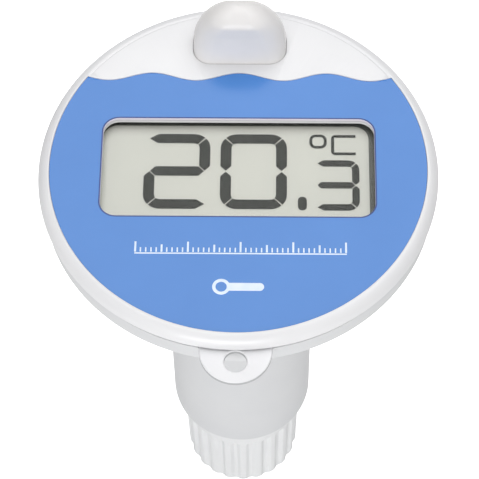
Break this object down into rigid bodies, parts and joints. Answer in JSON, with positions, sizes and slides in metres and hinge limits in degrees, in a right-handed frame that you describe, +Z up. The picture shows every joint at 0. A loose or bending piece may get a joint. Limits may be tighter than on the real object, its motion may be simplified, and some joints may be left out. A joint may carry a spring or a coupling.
{
  "type": "floating pool thermometer",
  "caption": "Round floating pool thermometer with a display face, an antenna dome, a tether tab and a battery stem closed by a fluted screw cap.",
  "frame": {"origin": "centre of the screw cap's flat bottom, on the stem's axis", "axes": "+Z up the stem towards the display face, +Y towards the antenna dome at the back of the face, -Y towards the tether tab, +X to the reader's right"},
  "size_m": [0.11, 0.1193, 0.1859],
  "materials": {
    "white_abs": "moulded, satin gloss",
    "grey_abs": "moulded, satin",
    "blue_print": "printed face, satin",
    "frosted_dome": "frosted translucent, glossy skin",
    "clear_acrylic": "clear polished",
    "display_glass": "polarised glass, satin front",
    "black_rubber": "moulded, matt",
    "silicone": "striped silicone",
    "green_board": "solder mask, satin",
    "chip_epoxy": "moulded epoxy",
    "bright_steel": "plated steel",
    "copper_wire": "enamelled copper",
    "black_abs": "moulded, matt",
    "cell_wrap": null,
    "red_insulation": "soft vinyl",
    "ribbon_film": "polyester film"
  },
  "bodies": {
    "housing": {"upper_shell": "white_abs", "face_plate": "blue_print", "window_lens": "clear_acrylic", "antenna_dome": "frosted_dome", "dome_gasket": "black_rubber", "antenna_coil": "copper_wire", "lower_shell": "grey_abs", "tether_tab": "white_abs", "head_seal": "black_rubber", "lcd_glass": "display_glass", "lcd_frame": "black_abs", "connector_strip_front": "silicone", "connector_strip_rear": "silicone", "main_board": "green_board", "control_chip": "chip_epoxy", "radio_module": "bright_steel", "crystal_can": "bright_steel", "battery_carrier": "black_abs", "battery_1": "cell_wrap", "battery_2": "cell_wrap", "contact_spring_1": "bright_steel", "contact_spring_2": "bright_steel", "contact_bridge": "bright_steel", "contact_plate_positive": "bright_steel", "contact_plate_negative": "bright_steel", "power_wire_red": "red_insulation", "power_wire_black": "black_abs", "key_ribbon": "ribbon_film", "thermistor": "chip_epoxy", "thermistor_lead": "black_abs", "key_board": "green_board", "send_key_body": "black_abs", "unit_switch_body": "bright_steel", "case_screw_1": "bright_steel", "screw_washer_1": "black_rubber", "board_screw_1": "bright_steel", "case_screw_2": "bright_steel", "screw_washer_2": "black_rubber", "board_screw_2": "bright_steel", "case_screw_3": "bright_steel", "screw_washer_3": "black_rubber", "board_screw_3": "bright_steel", "case_screw_4": "bright_steel", "screw_washer_4": "black_rubber", "board_screw_4": "bright_steel"},
    "cap_seal": {"cap_seal": "black_rubber"},
    "screw_cap": {"screw_cap": "grey_abs"},
    "send_button": {"send_button": "white_abs"},
    "unit_slider": {"unit_slider": "black_abs"}
  },
  "joints": [
    {"name": "cap_travel", "type": "slide", "parent": "housing", "child": "cap_seal", "axis": [0, 0, -1], "range_m": [0, 0.0075]},
    {"name": "cap_turn", "type": "hinge", "parent": "cap_seal", "child": "screw_cap", "pos_m": [0, 0, 0.02], "axis": [0, 0, -1], "range_deg": [0, 900.1]},
    {"name": "send_press", "type": "slide", "parent": "housing", "child": "send_button", "axis": [0, 0, 1], "range_m": [0, 0.0006], "stiffness_N_per_m": 1500},
    {"name": "unit_switch", "type": "slide", "parent": "housing", "child": "unit_slider", "axis": [0, 1, 0], "range_m": [0, 0.002]}
  ],
  "couplings": [
    {"joint": "cap_turn", "follows": "cap_travel", "rad_per_m": 2094.4}
  ]
}
